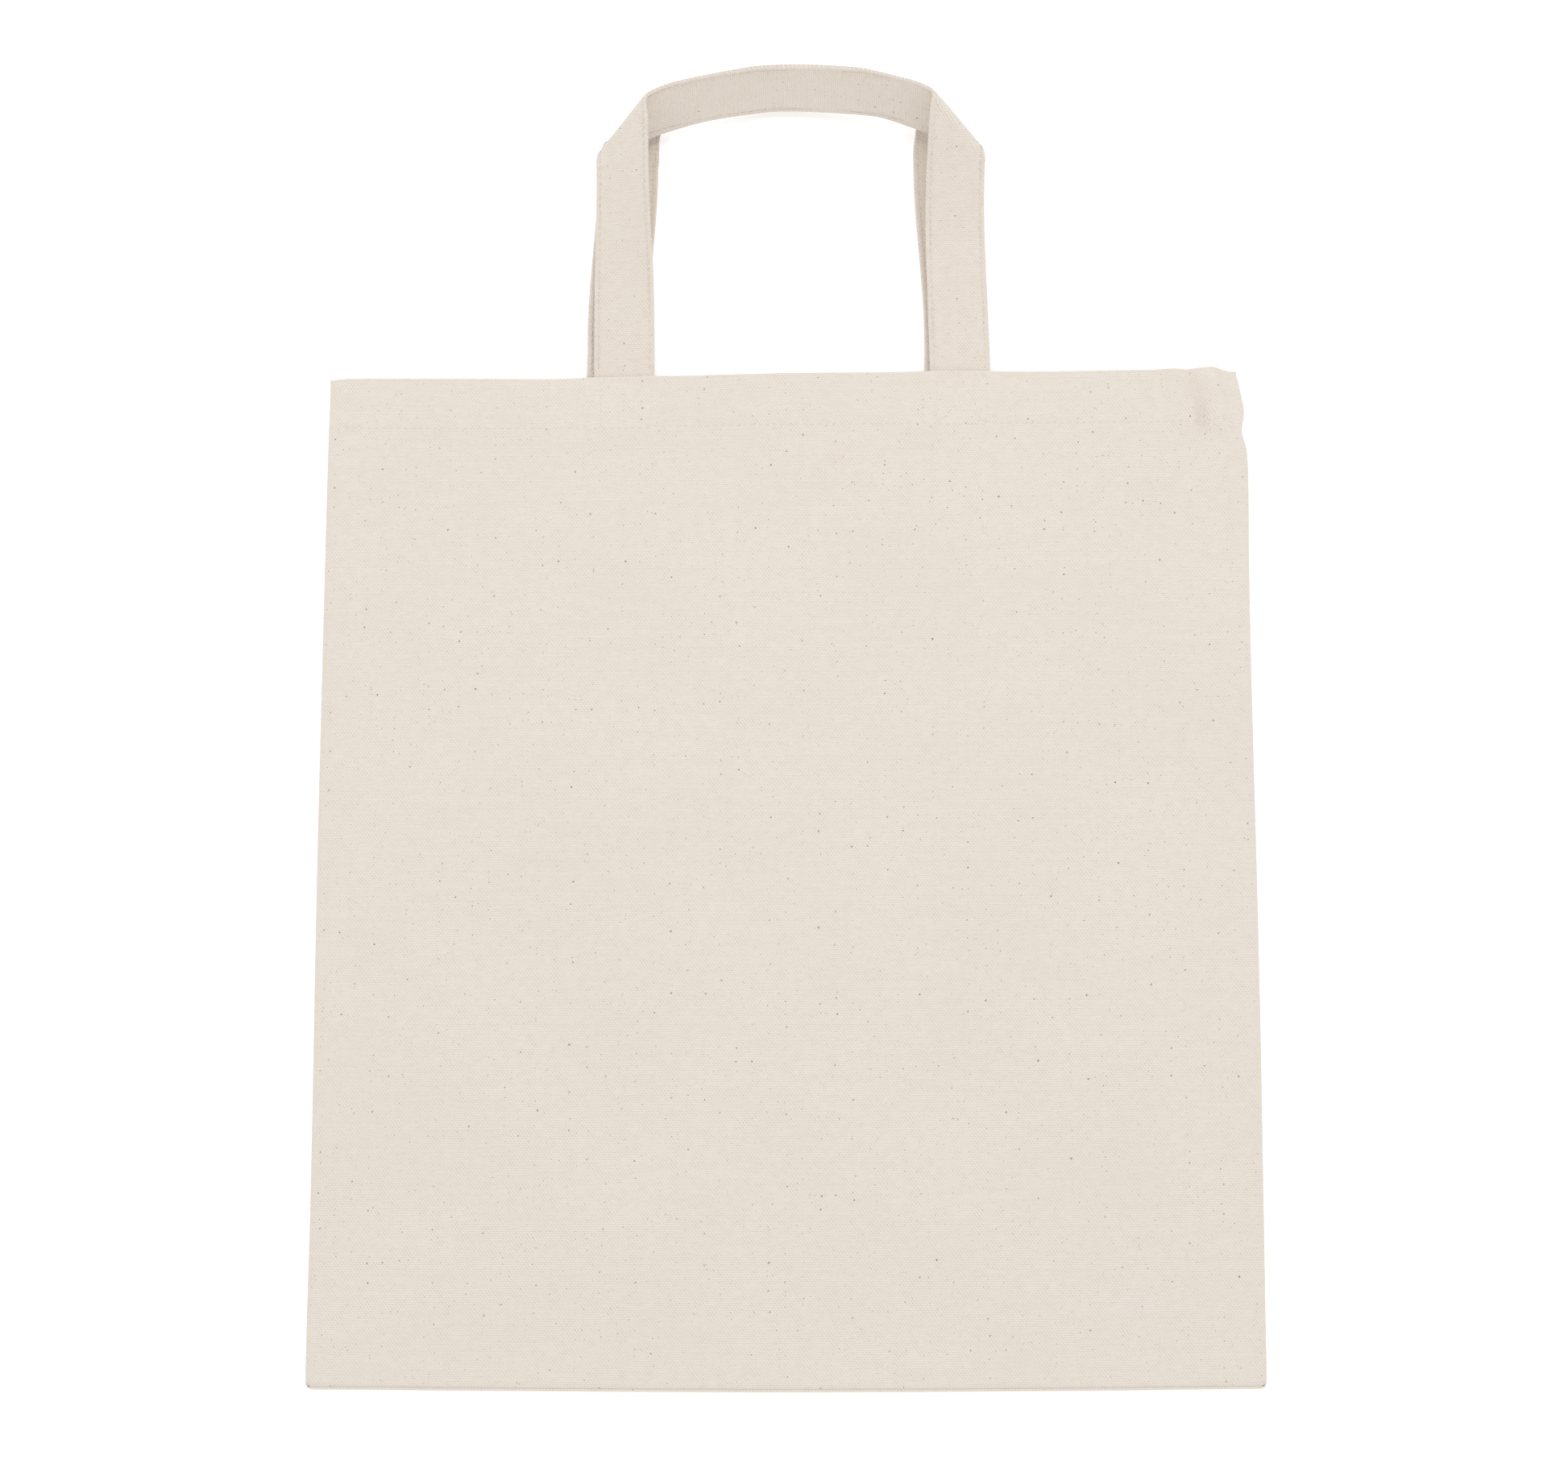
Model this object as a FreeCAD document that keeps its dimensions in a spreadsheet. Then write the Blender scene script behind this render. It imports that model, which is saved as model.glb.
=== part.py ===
"""Canvas tote bag, lying flat on its back.

X runs across the bag, Y from the bottom seam to the mouth and on to the handles, and Z up from
the surface that the bag lies on. Millimetres. The origin is under the middle of the whole bag.

Two panels are joined by side seams and a bottom seam. Each panel has a turned-in hem at the
mouth, and each has one handle: a strap whose ends are sewn inside the hem with box stitches.
A strap can't bend within its own flat face, so each handle turns over at two diagonal folds
and its crown stands on its edge. The front crown leans on the back one.
"""
import FreeCAD, Part
import math
import os

import Sketcher
from FreeCAD import Placement, Rotation, Vector

SIZES = [
    ("bag_width", 380, "panel, side seam to side seam"),
    ("bag_height", 416, "panel, bottom seam to mouth"),
    ("handle_reach", 131.5, "mouth to the far side of the back crown"),
    ("cloth_thickness", 0.8, "one layer of canvas"),
    ("cavity_height", 6.6, "inside height between the panels, lying flat"),
    ("seam_allowance", 10, "cloth turned inside at the side and bottom seams"),
    ("hem_depth", 25, "cloth turned inside at the mouth"),
    ("strap_width", 25, "handle strap"),
    ("strap_thickness", 1.8, "handle strap, four layers of lighter canvas"),
    ("strap_spacing", 140, "centre to centre of a handle's two ends"),
    ("strap_end_length", 23.7, "strap sewn inside the hem"),
    ("thread_width", 0.6, "sewing thread"),
    ("thread_height", 0.3, "sewing thread standing proud of the cloth"),
    ("stitch_inset", 2, "box stitch and edge stitch, in from the strap's edge"),
    ("hem_stitch_drop", 22, "hem stitch below the mouth"),
    ("play", 0.3, "gap left between pieces that move apart"),
    ("crown_pitch", 59, "angle of a crown's flat face from the ground, in degrees"),
    ("crown_radius", 147, "plan radius of a crown's lower edge"),
    ("crown_half_angle", 24, "half of a crown's arc in plan, in degrees"),
    ("crown_end_rise", 6, "a crown's ends above its middle"),
    ("front_crown_lift", 2.7, "lowest point of the front crown"),
    ("back_crown_lift", 0.3, "lowest point of the back crown"),
    ("crown_gap", 1.5, "the front crown's setback from the back crown, along Y"),
]

BOTTOM_Y = "-(Sizes.bag_height + Sizes.handle_reach) / 2"
MOUTH_Y = "(Sizes.bag_height - Sizes.handle_reach) / 2"
HEM_Y = "(Sizes.bag_height - Sizes.handle_reach) / 2 - Sizes.hem_depth"
LEFT_X = "-Sizes.bag_width / 2"
FRONT_Z = "Sizes.cloth_thickness + Sizes.cavity_height"
WALL_HEIGHT = "Sizes.cavity_height - Sizes.play"

doc = FreeCAD.newDocument("tote_bag")
sub_parts = []


def make_sheet():
    """The driving dimensions: one row each, with the value's cell named by an alias."""
    sheet = doc.addObject("Spreadsheet::Sheet", "Sizes")
    for row, (alias, value, meaning) in enumerate(SIZES, start=1):
        sheet.set(f"A{row}", alias)
        sheet.set(f"B{row}", str(value))
        sheet.set(f"C{row}", meaning)
        sheet.setAlias(f"B{row}", alias)
    doc.recompute()
    return sheet


def bind(target, **expressions):
    """Ties properties to spreadsheet expressions. x, y and z stand for the placement."""
    for key, expression in expressions.items():
        path = f"Placement.Base.{key}" if key in ("x", "y", "z") else key
        target.setExpression(path, expression)


def keep(target, label):
    target.Label = label
    sub_parts.append(target)
    return target


def strip(name, length, width, height, x, y, z):
    """A flat rectangular piece whose sizes and low corner are spreadsheet expressions."""
    box = doc.addObject("Part::Box", name)
    bind(box, Length=length, Width=width, Height=height, x=x, y=y, z=z)
    return box


def make_panel(name, z, size):
    """One panel: a rectangle sketched flat and padded to the thickness of the cloth."""
    body = doc.addObject("PartDesign::Body", name)
    sketch = body.newObject("Sketcher::SketchObject", name + "_outline")
    plane = [f for f in body.Origin.OriginFeatures if f.Role == "XY_Plane"][0]
    sketch.AttachmentSupport = [(plane, "")]
    sketch.MapMode = "FlatFace"
    half_width = size("bag_width") / 2
    height = size("bag_height")
    corners = [Vector(x, y, 0) for x, y in ((-half_width, 0), (half_width, 0),
                                            (half_width, height), (-half_width, height))]
    constrain = Constraints(sketch)
    for start, end in zip(corners, corners[1:] + corners[:1]):
        sketch.addGeometry(Part.LineSegment(start, end))
    for side in range(4):
        constrain.add("Coincident", side, 2, (side + 1) % 4, 1)
    constrain.add("PointOnObject", 0, 1, -1)
    constrain.add("Symmetric", 0, 1, 0, 2, -2)
    constrain.add("Vertical", 1)
    constrain.add("Horizontal", 2)
    constrain.add("Vertical", 3)
    constrain.drive("DistanceX", 0, "Sizes.bag_width")
    constrain.drive("DistanceY", 1, "Sizes.bag_height")
    pad = body.newObject("PartDesign::Pad", name + "_cloth")
    pad.Profile = sketch
    bind(pad, Length="Sizes.cloth_thickness")
    bind(body, y=BOTTOM_Y, z=z)
    return keep(body, name)


class Constraints:
    """Adds constraints to one sketch, some of them driven by the spreadsheet."""

    def __init__(self, sketch):
        self.sketch = sketch

    def add(self, kind, *places):
        return self.sketch.addConstraint(Sketcher.Constraint(kind, *places))

    def drive(self, kind, side, expression):
        line = self.sketch.Geometry[side]
        index = self.add(kind, side, 1, side, 2, line.length())
        self.sketch.setExpression(f"Constraints[{index}]", expression)


def make_seams():
    """The turned-in cloth along both sides and the bottom, and the overlock on its raw edge."""
    side_width = "Sizes.seam_allowance"
    side_x = {
        "left": (LEFT_X, "-Sizes.bag_width / 2 + Sizes.seam_allowance"),
        "right": (
            "Sizes.bag_width / 2 - Sizes.seam_allowance",
            "Sizes.bag_width / 2 - Sizes.seam_allowance - Sizes.thread_width",
        ),
    }
    inner_y = BOTTOM_Y + " + Sizes.seam_allowance"
    inner_width = "Sizes.bag_width - 2 * Sizes.seam_allowance"
    for side, (seam_x, overlock_x) in side_x.items():
        seam = strip(side + "_side_seam", side_width, "Sizes.bag_height", WALL_HEIGHT,
                     seam_x, BOTTOM_Y, "Sizes.cloth_thickness")
        keep(seam, side + "_side_seam")
        length = "Sizes.bag_height - Sizes.hem_depth - Sizes.seam_allowance - 2 * Sizes.thread_width"
        overlock = strip(side + "_seam_overlock", "Sizes.thread_width", length, WALL_HEIGHT,
                         overlock_x, inner_y + " + Sizes.thread_width", "Sizes.cloth_thickness")
        keep(overlock, side + "_seam_overlock")
    seam = strip("bottom_seam", inner_width, "Sizes.seam_allowance", WALL_HEIGHT,
                 "-Sizes.bag_width / 2 + Sizes.seam_allowance", BOTTOM_Y, "Sizes.cloth_thickness")
    keep(seam, "bottom_seam")
    overlock = strip("bottom_seam_overlock", inner_width, "Sizes.thread_width", WALL_HEIGHT,
                     "-Sizes.bag_width / 2 + Sizes.seam_allowance", inner_y,
                     "Sizes.cloth_thickness")
    keep(overlock, "bottom_seam_overlock")


def make_hem(face, hem_z, stitch_z):
    """The cloth turned in at the mouth, and the line of stitches that holds it.

    The hem stops short of the side seams. Its stitches stop at the box stitches, so that they
    are three runs: outside the left strap, between the straps and outside the right strap.
    """
    edge_gap = "(Sizes.seam_allowance + Sizes.play)"
    width = "Sizes.bag_width - 2 * " + edge_gap
    left_x = "-Sizes.bag_width / 2 + " + edge_gap
    hem = strip(face + "_hem", width, "Sizes.hem_depth", "Sizes.cloth_thickness",
                left_x, HEM_Y, hem_z)
    keep(hem, face + "_hem")
    reach = "(Sizes.strap_spacing / 2 + Sizes.strap_width / 2 + Sizes.play)"
    middle = "(Sizes.strap_spacing / 2 - Sizes.strap_width / 2 - Sizes.play)"
    outer_length = f"Sizes.bag_width / 2 - {edge_gap} - {reach}"
    spans = [
        ("left", outer_length, left_x),
        ("middle", "2 * " + middle, "-" + middle),
        ("right", outer_length, reach),
    ]
    runs = []
    for place, length, x in spans:
        runs.append(strip(f"{face}_hem_{place}_run", length, "Sizes.thread_width",
                          "Sizes.thread_height", x, MOUTH_Y + " - Sizes.hem_stitch_drop",
                          stitch_z))
    stitch = doc.addObject("Part::Compound", face + "_hem_stitch")
    stitch.Links = runs
    keep(stitch, face + "_hem_stitch")


def make_strap_end(face, side, centre_x, end_z, stitch_z):
    """A strap's sewn end, and the box stitch with its crossed diagonals."""
    name = f"{face}_{side}_strap_end"
    end = strip(name, "Sizes.strap_width", "Sizes.strap_end_length", "Sizes.strap_thickness",
                f"{centre_x} - Sizes.strap_width / 2",
                MOUTH_Y + " - Sizes.strap_end_length - Sizes.play", end_z)
    keep(end, name)

    name = f"{face}_{side}_box_stitch"
    box_width = "(Sizes.strap_width - 2 * Sizes.stitch_inset)"
    box_height = "(Sizes.strap_end_length - Sizes.stitch_inset)"
    middle_y = f"({MOUTH_Y} - Sizes.play - Sizes.stitch_inset / 2 - {box_height} / 2)"
    outer = strip(name + "_outer", box_width, box_height, "Sizes.thread_height",
                  f"{centre_x} - {box_width} / 2", f"{middle_y} - {box_height} / 2", stitch_z)
    inner = strip(name + "_inner", f"{box_width} - 2 * Sizes.thread_width",
                  f"{box_height} - 2 * Sizes.thread_width", "Sizes.thread_height",
                  f"{centre_x} - {box_width} / 2 + Sizes.thread_width",
                  f"{middle_y} - {box_height} / 2 + Sizes.thread_width", stitch_z)
    frame = doc.addObject("Part::Cut", name + "_frame")
    frame.Base = outer
    frame.Tool = inner
    pieces = [frame]
    for turn in ("rising", "falling"):
        pieces.append(make_diagonal(name + "_" + turn, turn, box_width, box_height,
                                    centre_x, middle_y, stitch_z))
    stitch = doc.addObject("Part::MultiFuse", name)
    stitch.Shapes = pieces
    keep(stitch, name)


def make_diagonal(name, turn, box_width, box_height, centre_x, middle_y, z):
    """One diagonal of a box stitch: a thin bar centred in the box and turned to its slope.

    The bar ends inside the frame's own thread, so that no corner of it stands outside the box.
    """
    sign = "" if turn == "rising" else "-"
    inner_width = f"({box_width} - 2 * Sizes.thread_width)"
    inner_height = f"({box_height} - 2 * Sizes.thread_width)"
    length = f"sqrt({inner_width} ^ 2 + {inner_height} ^ 2)"
    angle = f"{sign}atan({inner_height} / {inner_width})"
    half_x = f"{length} / 2"
    half_y = "Sizes.thread_width / 2"
    bar = doc.addObject("Part::Box", name)
    bind(bar, Length=length, Width="Sizes.thread_width", Height="Sizes.thread_height",
         x=f"{centre_x} - ({half_x}) * cos({angle}) + {half_y} * sin({angle})",
         y=f"{middle_y} - ({half_x}) * sin({angle}) - {half_y} * cos({angle})",
         z=z)
    bar.Placement.Rotation = Rotation(Vector(0, 0, 1), 1)
    bar.setExpression("Placement.Rotation.Angle", angle)
    return bar


class Station:
    """One place along a strap: its middle, the way across it and the way out of its face."""

    def __init__(self, middle, across, face):
        self.middle = middle
        self.across = across.normalize()
        self.face = face.normalize()

    def section(self, offset, rise, width, thickness):
        """A rectangle of the strap's cross-section, centred offset across and rise outwards."""
        centre = self.middle + self.across * offset + self.face * rise
        half_width = self.across * (width / 2)
        half_thickness = self.face * (thickness / 2)
        corners = [
            centre - half_width - half_thickness,
            centre + half_width - half_thickness,
            centre + half_width + half_thickness,
            centre - half_width + half_thickness,
        ]
        return Part.makePolygon(corners + corners[:1])

    def mirrored(self):
        """The same place on the other half. Across still runs from outer to inner edge."""
        def flip(vector):
            return Vector(-vector.x, vector.y, vector.z)
        return Station(flip(self.middle), flip(self.across), flip(self.face))


def crown_stations(size, mouth_y, lift, setback):
    """The left half of a crown, from its end at the fold to its middle.

    The crown is a strip of a cone about an upright axis: an arc in plan, leaning back by the
    crown pitch, with its ends lifted off the ground by the stiff folds. Its lower edge is the
    outer edge of the leg, carried over the fold, and its back is the leg's top face.
    """
    pitch = math.radians(size("crown_pitch"))
    half_width = size("strap_width") / 2
    half_thickness = size("strap_thickness") / 2
    middle_z = lift + half_width * math.sin(pitch) + half_thickness * math.cos(pitch)
    far_y = mouth_y + size("handle_reach") - setback
    axis_y = far_y - 2 * half_width * math.cos(pitch) - half_thickness * math.sin(pitch)
    axis_y -= size("crown_radius")
    middle_radius = size("crown_radius") + half_width * math.cos(pitch)
    stations = []
    steps = 4
    for step in range(steps + 1):
        share = 1 - step / steps
        angle = math.radians(-size("crown_half_angle") * share)
        outward = Vector(math.sin(angle), math.cos(angle), 0)
        height = middle_z + size("crown_end_rise") * share ** 2
        middle = outward * middle_radius + Vector(0, axis_y, height)
        across = outward * math.cos(pitch) + Vector(0, 0, math.sin(pitch))
        face = outward * math.sin(pitch) - Vector(0, 0, math.cos(pitch))
        stations.append(Station(middle, across, face))
    return stations


def fold_station(leg, crown, bulge):
    """The middle of a fold, halfway between a leg's end and a crown's end in place and turn.

    Bulge moves it outwards, towards the handle's corner.
    """
    middle = (leg.middle + crown.middle) / 2 + Vector(-bulge, bulge, 0)
    return Station(middle, leg.across + crown.across, leg.face + crown.face)


def leg_station(x, y, z, climb, roll):
    """A place on a left leg, climbing towards the crown and rolled about its own length.

    Both are in degrees. A positive roll lifts the leg's inner edge.
    """
    climb = math.radians(climb)
    roll = math.radians(roll)
    along = Vector(0, math.cos(climb), math.sin(climb))
    level_face = Vector(0, -math.sin(climb), math.cos(climb))
    across = Vector(1, 0, 0) * math.cos(roll) + level_face * math.sin(roll)
    return Station(Vector(x, y, z), across, across.cross(along))


def front_handle_path(size):
    """The front legs climb from the hem to the folds, where their inner edges are highest."""
    mouth_y = (size("bag_height") - size("handle_reach")) / 2
    root_z = size("cavity_height") - size("strap_thickness") / 2
    leg_x = -size("strap_spacing") / 2
    legs = [
        leg_station(leg_x, mouth_y + size("play"), root_z, 0, 0),
        leg_station(leg_x, mouth_y + 40, root_z + 1.4, 4, 4),
        leg_station(leg_x, mouth_y + 70, root_z + 4.9, 9, 12),
        leg_station(leg_x, mouth_y + 89, root_z + 9, 16, 22),
    ]
    crown = crown_stations(size, mouth_y, size("front_crown_lift"), size("crown_gap"))
    return legs, [fold_station(legs[-1], crown[0], 3)], crown


def back_handle_path(size):
    """The back legs lie on the ground, pass under the front crown and turn up behind it."""
    mouth_y = (size("bag_height") - size("handle_reach")) / 2
    root_z = 2 * size("cloth_thickness") + size("strap_thickness") / 2
    ground_z = size("strap_thickness") / 2 + size("play")
    leg_x = -size("strap_spacing") / 2
    lean = 4
    legs = [
        leg_station(leg_x, mouth_y + size("play"), root_z, 0, 0),
        leg_station(leg_x + lean * 0.15, mouth_y + 18, ground_z, 0, 0),
        leg_station(leg_x + lean, mouth_y + 104, ground_z, 0, 0),
    ]
    fold = leg_station(leg_x + lean, mouth_y + 112, ground_z, 0, 0)
    return legs, [fold], crown_stations(size, mouth_y, size("back_crown_lift"), 0)


def mirror_path(stations):
    return [station.mirrored() for station in reversed(stations)]


def make_handle(name, leg, fold, crown, size):
    """A strap from hem to hem as one ruled loft, and its two lines of edge stitching.

    The arguments are the left half. The stitching is separate runs on the legs and the crown,
    because the folds hide it. The crown's runs stop one station short of the folds.
    """
    width = size("strap_width")
    thickness = size("strap_thickness")
    half = leg + fold + crown
    whole = half + mirror_path(half[:-1])
    sewn_crown = crown[1:] + mirror_path(crown[1:-1])

    def loft(path, offset, rise, loft_width, loft_thickness):
        wires = [s.section(offset, rise, loft_width, loft_thickness) for s in path]
        return Part.makeLoft(wires, True, True)

    strap = doc.addObject("Part::Feature", name)
    strap.Shape = loft(whole, 0, 0, width, thickness)
    strap.Placement = Placement()
    keep(strap, name)

    edge = width / 2 - size("stitch_inset")
    rise = thickness / 2 + size("thread_height") / 2
    runs = [loft(path, offset, rise, size("thread_width"), size("thread_height"))
            for path in (leg, sewn_crown, mirror_path(leg))
            for offset in (-edge, edge)]
    stitch = doc.addObject("Part::Feature", name + "_edge_stitch")
    stitch.Shape = Part.makeCompound(runs)
    stitch.Placement = Placement()
    keep(stitch, name + "_edge_stitch")


def check_and_export():
    """Stops on any failed object or bad shape, then writes one STEP file for each sub-part."""
    doc.recompute()
    for item in doc.Objects:
        if "Invalid" in item.State or "Error" in item.State:
            raise RuntimeError(f"{item.Name} failed: {item.State}")
    for item in sub_parts:
        if item.Shape.isNull() or not item.Shape.isValid():
            raise RuntimeError(f"{item.Label} has no valid shape")
    os.makedirs("parts", exist_ok=True)
    for item in sub_parts:
        item.Shape.exportStep(f"parts/{item.Label}.step")
        box = item.Shape.BoundBox
        print(f"{item.Label:26s} {len(item.Shape.Solids)} solid(s) {item.Shape.Volume:9.1f} mm3"
              f"  x {box.XMin:.1f}..{box.XMax:.1f}  y {box.YMin:.1f}..{box.YMax:.1f}"
              f"  z {box.ZMin:.2f}..{box.ZMax:.2f}")


def main():
    sheet = make_sheet()

    def size(alias):
        return float(sheet.get(alias))

    make_panel("back_panel", "0", size)
    make_panel("front_panel", FRONT_Z, size)
    make_seams()
    make_hem("back", "Sizes.cloth_thickness", "2 * Sizes.cloth_thickness")
    make_hem("front", "Sizes.cavity_height", FRONT_Z + " + Sizes.cloth_thickness")

    sides = {"left": "-Sizes.strap_spacing / 2", "right": "Sizes.strap_spacing / 2"}
    for side, centre_x in sides.items():
        make_strap_end("back", side, centre_x, "2 * Sizes.cloth_thickness",
                       "2 * Sizes.cloth_thickness + Sizes.strap_thickness")
        make_strap_end("front", side, centre_x, "Sizes.cavity_height - Sizes.strap_thickness",
                       FRONT_Z + " + Sizes.cloth_thickness")
    make_handle("front_handle", *front_handle_path(size), size)
    make_handle("back_handle", *back_handle_path(size), size)
    check_and_export()


main()
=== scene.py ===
"""The looks of the canvas tote bag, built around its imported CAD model.

Cloth is worked out in millimetres on its flat cut and then placed in space: a panel's flat point
is (x, y), a strap's is (s, v), where s runs along the strap from the crown's middle and v across
it. Stitches are made on the same flat cuts and placed by the same functions, so that they follow
the cloth. Meshes are in metres.
"""

import math

import bmesh
import bpy
import numpy as np
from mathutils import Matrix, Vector


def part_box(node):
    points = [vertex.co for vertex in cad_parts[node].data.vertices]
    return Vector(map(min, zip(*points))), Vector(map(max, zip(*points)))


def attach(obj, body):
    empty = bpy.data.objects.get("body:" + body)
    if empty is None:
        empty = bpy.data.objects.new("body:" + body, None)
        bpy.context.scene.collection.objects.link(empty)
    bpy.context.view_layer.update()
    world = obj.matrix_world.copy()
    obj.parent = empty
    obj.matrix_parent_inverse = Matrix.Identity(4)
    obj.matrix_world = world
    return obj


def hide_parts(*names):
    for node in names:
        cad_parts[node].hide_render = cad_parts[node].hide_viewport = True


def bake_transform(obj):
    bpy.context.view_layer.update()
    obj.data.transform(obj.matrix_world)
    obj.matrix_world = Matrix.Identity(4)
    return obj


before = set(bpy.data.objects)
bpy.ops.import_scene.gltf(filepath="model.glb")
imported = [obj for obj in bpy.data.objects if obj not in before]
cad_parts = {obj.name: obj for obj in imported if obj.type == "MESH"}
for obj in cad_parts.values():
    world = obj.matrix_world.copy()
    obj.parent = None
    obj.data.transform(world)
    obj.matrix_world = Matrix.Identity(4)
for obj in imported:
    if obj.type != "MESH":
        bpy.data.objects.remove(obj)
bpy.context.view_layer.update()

MM = 0.001
UP = np.array([0.0, 0.0, 1.0])


def box_mm(node):
    low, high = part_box(node)
    return np.array(low) / MM, np.array(high) / MM


# Places that the CAD model settles, in millimetres.
FRONT_LOW, FRONT_HIGH = box_mm("front_panel")
HALF_WIDTH = FRONT_HIGH[0]
MOUTH_Y = FRONT_HIGH[1]
BOTTOM_Y = FRONT_LOW[1]
HEIGHT = MOUTH_Y - BOTTOM_Y
CLOTH = FRONT_HIGH[2] - FRONT_LOW[2]
HEM_DEPTH = MOUTH_Y - box_mm("front_hem")[0][1]
SEAM_LOW, SEAM_HIGH = box_mm("left_side_seam")
SEAM_ALLOWANCE = SEAM_HIGH[0] - SEAM_LOW[0]
END_LOW, END_HIGH = box_mm("front_right_strap_end")
BACK_END_LOW, BACK_END_HIGH = box_mm("back_right_strap_end")
STRAP_WIDTH = END_HIGH[0] - END_LOW[0]
STRAP_THICKNESS = END_HIGH[2] - END_LOW[2]
STRAP_X = (END_LOW[0] + END_HIGH[0]) / 2
STRAP_END_Y = END_LOW[1]
BOX_LOW, BOX_HIGH = box_mm("front_right_box_stitch")
HEM_STITCH_Y = box_mm("front_hem_stitch")[0][1]

# How the cloth lies.
EDGE_ROLL = 2.0            # radius of a panel's edge where it turns down to the seam
SEAM_LEVEL = 2.35          # height of the line where the two panels are sewn together
FOLD_RADIUS = 0.95         # the mouth's folded edge
LOW_HEIGHT = 3.9           # the front panel's top face beside the seams
HIGH_HEIGHT = 6.0          # and in the middle
STRAP_HEIGHT = FRONT_HIGH[2] + 0.3   # over the strap ends
ALLOWANCE_THICKNESS = 2 * CLOTH * 0.75   # two layers, pressed flat

# Thread.
THREAD_RADIUS = 0.18
STITCH_LENGTH = 2.55
STITCH_PITCH = 3.1
EDGE_STITCH_INSET = 1.85
EDGE_STITCH_END = 26.0      # from the strap's end, so that the rows stop outside the hem
FRONT_LEG_X = {-1: -67.0, 1: 72.0}       # the middles of the front handle's legs
FRONT_BOX_X = {-1: -66.0, 1: 72.6}       # and of their box stitches


def smooth(t):
    t = np.clip(t, 0.0, 1.0)
    return t * t * (3 - 2 * t)


def bell(distance, width):
    return np.exp(-(distance / width) ** 2)


def unit(vectors):
    return vectors / np.maximum(np.linalg.norm(vectors, axis=-1, keepdims=True), 1e-9)


def straight(start, end):
    """A straight line's start, direction and length."""
    start, end = np.array(start, float), np.array(end, float)
    return start, unit(end - start), np.linalg.norm(end - start)


def hermite(t, first, last, first_slope, last_slope):
    """The cubic from first to last as t goes from 0 to 1, with these slopes at its ends."""
    return (first * (2 * t**3 - 3 * t**2 + 1) + first_slope * (t**3 - 2 * t**2 + t)
            + last * (3 * t**2 - 2 * t**3) + last_slope * (t**3 - t**2))


def through(points, x):
    """A smooth curve through a few (place, value) points, level at each end."""
    places = [p[0] for p in points]
    values = [p[1] for p in points]
    slopes = np.zeros(len(points))
    for i in range(1, len(points) - 1):
        slopes[i] = (values[i + 1] - values[i - 1]) / (places[i + 1] - places[i - 1])
    x = np.clip(x, places[0], places[-1])
    i = np.clip(np.searchsorted(places, x, side="right") - 1, 0, len(points) - 2)
    start = np.take(places, i)
    span = np.take(places, i + 1) - start
    t = (x - start) / span
    return hermite(t, np.take(values, i), np.take(values, i + 1),
                   span * np.take(slopes, i), span * np.take(slopes, i + 1))


def waves(x, y, length, seed, count=7):
    """A smooth random field of about unit size, the same on each run."""
    random = np.random.default_rng(seed)
    total = np.zeros(np.broadcast(x, y).shape)
    for _ in range(count):
        turn = random.uniform(0, math.pi)
        wavelength = length * random.uniform(0.7, 1.5)
        phase = random.uniform(0, 2 * math.pi)
        along = x * math.cos(turn) + y * math.sin(turn)
        total += np.sin(2 * math.pi * along / wavelength + phase)
    return total / math.sqrt(count)


# ------------ meshes

def add_object(name, data):
    thing = bpy.data.objects.new(name, data)
    bpy.context.scene.collection.objects.link(thing)
    return thing


def make_piece(name, points, faces, flat, normals=None):
    """A mesh object from points in millimetres. Flat is each corner's place on the flat cut."""
    mesh = bpy.data.meshes.new(name)
    mesh.from_pydata((np.asarray(points) * MM).tolist(), [], [list(map(int, f)) for f in faces])
    mesh.polygons.foreach_set("use_smooth", [True] * len(mesh.polygons))
    layer = mesh.uv_layers.new(name="cloth")
    corners = np.zeros(len(mesh.loops), int)
    mesh.loops.foreach_get("vertex_index", corners)
    layer.data.foreach_set("uv", (np.asarray(flat)[corners] * MM).ravel())
    mesh.update()
    if normals is not None:
        mesh.normals_split_custom_set(normals.tolist())
    return add_object(name, mesh)


def grid_faces(rows, columns, first=0, flip=False, closed=False):
    """The quads of a grid of points that are numbered row by row from first."""
    r, c = np.meshgrid(np.arange(rows - 1), np.arange(columns if closed else columns - 1), indexing="ij")
    after = (c + 1) % columns
    low, high = r * columns, (r + 1) * columns
    quad = np.stack([low + c, low + after, high + after, high + c], -1).reshape(-1, 4) + first
    return quad[:, ::-1] if flip else quad


def tube_faces(rings, sides):
    """The faces of a tube whose points are numbered ring by ring, with a cap at each end."""
    last = (rings - 1) * sides
    caps = [list(range(sides))[::-1], list(range(last, last + sides))]
    return [list(f) for f in grid_faces(rings, sides, closed=True)] + caps


def grid_normals(points):
    """Unit normals of a grid of points, on the side that rows crossed with columns point to."""
    down = np.gradient(points, axis=0)
    across = np.gradient(points, axis=1)
    return unit(np.cross(across, down))


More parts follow.
